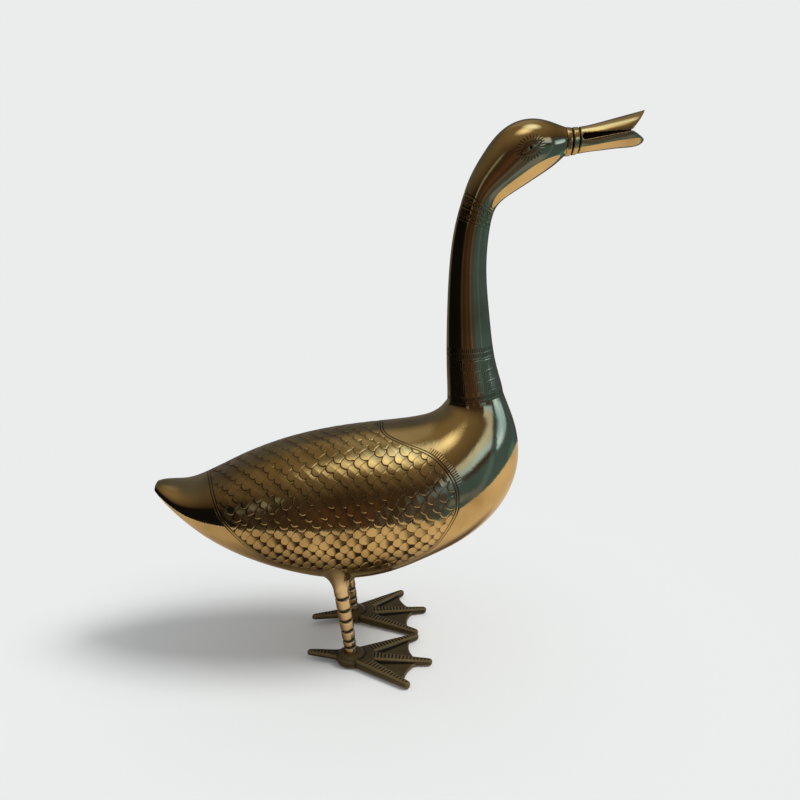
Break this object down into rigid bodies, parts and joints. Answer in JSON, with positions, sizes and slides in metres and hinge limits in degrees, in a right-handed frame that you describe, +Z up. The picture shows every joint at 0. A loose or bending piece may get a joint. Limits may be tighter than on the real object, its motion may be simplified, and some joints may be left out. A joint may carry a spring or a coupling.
{
  "type": "standing duck ornament",
  "caption": "Hollow-cast brass duck ornament standing on webbed feet, with a long upright neck, a fish-mouth bill, banded legs and engraved feathers",
  "frame": {"origin": "centre of the bounding box in plan, on the floor plane under the soles", "axes": "+X from tail to bill, +Y to the bird's left, +Z up"},
  "size_m": [0.3804, 0.152, 0.4362],
  "materials": {
    "engraved_brass": "polished and aged, with engraved feathers darkened in the cuts",
    "neck_brass": "polished and aged, with engraved bands and eyes",
    "bill_brass": "polished, bright on the edges",
    "leg_brass": "turned and polished, dark in the ring grooves",
    "foot_brass": "cast, with a dark olive-brown patina and bright rubbed edges",
    "stud_brass": "plain drawn rod, hidden inside"
  },
  "bodies": {
    "root": {"body_left_shell": "engraved_brass", "body_right_shell": "engraved_brass", "neck_left_shell": "neck_brass", "neck_right_shell": "neck_brass", "bill": "bill_brass", "left_leg": "leg_brass", "right_leg": "leg_brass", "left_leg_stud": "stud_brass", "right_leg_stud": "stud_brass", "left_foot": "foot_brass", "right_foot": "foot_brass"}
  },
  "joints": []
}
